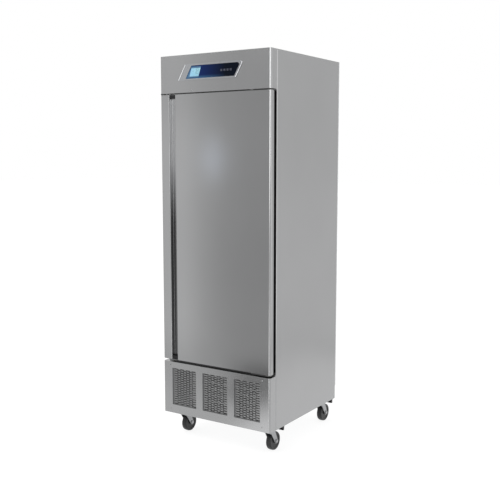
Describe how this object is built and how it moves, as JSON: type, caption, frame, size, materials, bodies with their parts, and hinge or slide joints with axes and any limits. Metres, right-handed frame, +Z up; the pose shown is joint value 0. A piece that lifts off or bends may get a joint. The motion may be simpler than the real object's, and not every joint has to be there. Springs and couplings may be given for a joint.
{
  "type": "reach-in freezer",
  "caption": "Tall one-door reach-in freezer in brushed stainless steel with recessed door grip, slanted control display, base air grilles and swivel casters with brakes.",
  "frame": {"origin": "centre of the overall box's underside, on the floor under the casters", "axes": "+X to the right seen from the front, +Y to the back, +Z up; the door faces -Y"},
  "size_m": [0.694, 0.7944, 2.085],
  "materials": {
    "stainless": "satin brushed",
    "stainless_door": "satin brushed",
    "stainless_inner": "satin",
    "stainless_screen": "satin",
    "galvanised": "matte",
    "screw_steel": "polished",
    "hinge_steel": "satin",
    "bright_trim": "polished",
    "display_dark": "gloss",
    "display_glass": "gloss",
    "key_blue": "satin",
    "black_plastic": "matte",
    "grey_plastic": "matte",
    "gasket_rubber": "matte",
    "foam": "matte",
    "shelf_wire": "gloss",
    "fin_aluminium": "satin",
    "fan_plastic": "satin",
    "motor_steel": "satin",
    "compressor_paint": "gloss",
    "copper_tube": "satin",
    "caster_zinc": "satin",
    "wheel_rubber": "matte",
    "pedal_black": "satin"
  },
  "bodies": {
    "cabinet": {"side_panel_left": "stainless", "side_panel_right": "stainless", "top_panel": "stainless", "back_panel": "galvanised", "front_frame": "stainless", "breaker_strips": "grey_plastic", "liner": "stainless_inner", "foam_insulation": "foam", "base_frame": "galvanised", "deck_panel": "galvanised", "power_gland": "black_plastic", "fascia": "stainless", "grille_panel": "stainless", "grille_screens": "stainless_screen", "cover_screws": "screw_steel", "display_bezel": "bright_trim", "display_panel": "display_dark", "display_window": "display_glass", "controller_box": "black_plastic", "hinge_top": "hinge_steel", "hinge_bottom": "hinge_steel", "pilasters": "stainless_inner", "shelf_clips": "stainless_inner", "shelf_lower": "shelf_wire", "shelf_middle": "shelf_wire", "shelf_upper": "shelf_wire", "evaporator_housing": "stainless_inner", "evaporator_coil": "fin_aluminium", "evaporator_fan_motor": "motor_steel", "condenser_coil": "fin_aluminium", "fan_shroud": "galvanised", "condenser_fan_motor": "motor_steel", "compressor": "compressor_paint", "refrigerant_tubes": "copper_tube", "caster_plates": "caster_zinc"},
    "door": {"door_skin": "stainless_door", "door_frame": "black_plastic", "door_gasket": "gasket_rubber", "door_inner_pan": "stainless_inner", "door_foam": "foam", "groove_end_caps": "black_plastic", "hinge_bushes": "grey_plastic"},
    "condenser_fan": {"condenser_fan": "fan_plastic"},
    "evaporator_fan": {"evaporator_fan": "fan_plastic"},
    "key_1": {"key_1": "key_blue"},
    "key_2": {"key_2": "key_blue"},
    "key_3": {"key_3": "key_blue"},
    "key_4": {"key_4": "key_blue"},
    "fork_front_left": {"caster_fork_front_left": "caster_zinc"},
    "wheel_front_left": {"caster_wheel_front_left": "wheel_rubber"},
    "pedal_front_left": {"brake_pedal_front_left": "pedal_black"},
    "fork_front_right": {"caster_fork_front_right": "caster_zinc"},
    "wheel_front_right": {"caster_wheel_front_right": "wheel_rubber"},
    "pedal_front_right": {"brake_pedal_front_right": "pedal_black"},
    "fork_rear_left": {"caster_fork_rear_left": "caster_zinc"},
    "wheel_rear_left": {"caster_wheel_rear_left": "wheel_rubber"},
    "pedal_rear_left": {"brake_pedal_rear_left": "pedal_black"},
    "fork_rear_right": {"caster_fork_rear_right": "caster_zinc"},
    "wheel_rear_right": {"caster_wheel_rear_right": "wheel_rubber"},
    "pedal_rear_right": {"brake_pedal_rear_right": "pedal_black"}
  },
  "joints": [
    {"name": "door_hinge", "type": "hinge", "parent": "cabinet", "child": "door", "pos_m": [0.325, -0.37275, 1.164], "axis": [0, 0, 1], "range_deg": [0, 115], "stiffness_Nm_per_rad": 2, "springref_deg": -57.3},
    {"name": "condenser_fan_spin", "type": "hinge", "parent": "cabinet", "child": "condenser_fan", "pos_m": [0, -0.23375, 0.262], "axis": [0, 1, 0], "continuous": true},
    {"name": "evaporator_fan_spin", "type": "hinge", "parent": "cabinet", "child": "evaporator_fan", "pos_m": [0, -0.19475, 1.935], "axis": [0, 1, 0], "continuous": true},
    {"name": "key_1_press", "type": "slide", "parent": "cabinet", "child": "key_1", "axis": [0, 1, 0], "range_m": [0, 0.0008], "stiffness_N_per_m": 300, "springref_m": -0.001},
    {"name": "key_2_press", "type": "slide", "parent": "cabinet", "child": "key_2", "axis": [0, 1, 0], "range_m": [0, 0.0008], "stiffness_N_per_m": 300, "springref_m": -0.001},
    {"name": "key_3_press", "type": "slide", "parent": "cabinet", "child": "key_3", "axis": [0, 1, 0], "range_m": [0, 0.0008], "stiffness_N_per_m": 300, "springref_m": -0.001},
    {"name": "key_4_press", "type": "slide", "parent": "cabinet", "child": "key_4", "axis": [0, 1, 0], "range_m": [0, 0.0008], "stiffness_N_per_m": 300, "springref_m": -0.001},
    {"name": "caster_swivel_front_left", "type": "hinge", "parent": "cabinet", "child": "fork_front_left", "pos_m": [-0.281, -0.29775, 0.131], "axis": [0, 0, 1], "continuous": true},
    {"name": "wheel_spin_front_left", "type": "hinge", "parent": "fork_front_left", "child": "wheel_front_left", "pos_m": [-0.281, -0.25475, 0.05], "axis": [1, 0, 0], "continuous": true},
    {"name": "brake_press_front_left", "type": "hinge", "parent": "fork_front_left", "child": "pedal_front_left", "pos_m": [-0.281, -0.26375, 0.1217], "axis": [-1, 0, 0], "range_deg": [0, 16]},
    {"name": "caster_swivel_front_right", "type": "hinge", "parent": "cabinet", "child": "fork_front_right", "pos_m": [0.281, -0.29775, 0.131], "axis": [0, 0, 1], "continuous": true},
    {"name": "wheel_spin_front_right", "type": "hinge", "parent": "fork_front_right", "child": "wheel_front_right", "pos_m": [0.281, -0.25475, 0.05], "axis": [1, 0, 0], "continuous": true},
    {"name": "brake_press_front_right", "type": "hinge", "parent": "fork_front_right", "child": "pedal_front_right", "pos_m": [0.281, -0.26375, 0.1217], "axis": [-1, 0, 0], "range_deg": [0, 16]},
    {"name": "caster_swivel_rear_left", "type": "hinge", "parent": "cabinet", "child": "fork_rear_left", "pos_m": [-0.281, 0.27225, 0.131], "axis": [0, 0, 1], "continuous": true},
    {"name": "wheel_spin_rear_left", "type": "hinge", "parent": "fork_rear_left", "child": "wheel_rear_left", "pos_m": [-0.281, 0.31525, 0.05], "axis": [1, 0, 0], "continuous": true},
    {"name": "brake_press_rear_left", "type": "hinge", "parent": "fork_rear_left", "child": "pedal_rear_left", "pos_m": [-0.281, 0.30625, 0.1217], "axis": [-1, 0, 0], "range_deg": [0, 16]},
    {"name": "caster_swivel_rear_right", "type": "hinge", "parent": "cabinet", "child": "fork_rear_right", "pos_m": [0.281, 0.27225, 0.131], "axis": [0, 0, 1], "continuous": true},
    {"name": "wheel_spin_rear_right", "type": "hinge", "parent": "fork_rear_right", "child": "wheel_rear_right", "pos_m": [0.281, 0.31525, 0.05], "axis": [1, 0, 0], "continuous": true},
    {"name": "brake_press_rear_right", "type": "hinge", "parent": "fork_rear_right", "child": "pedal_rear_right", "pos_m": [0.281, 0.30625, 0.1217], "axis": [-1, 0, 0], "range_deg": [0, 16]}
  ]
}
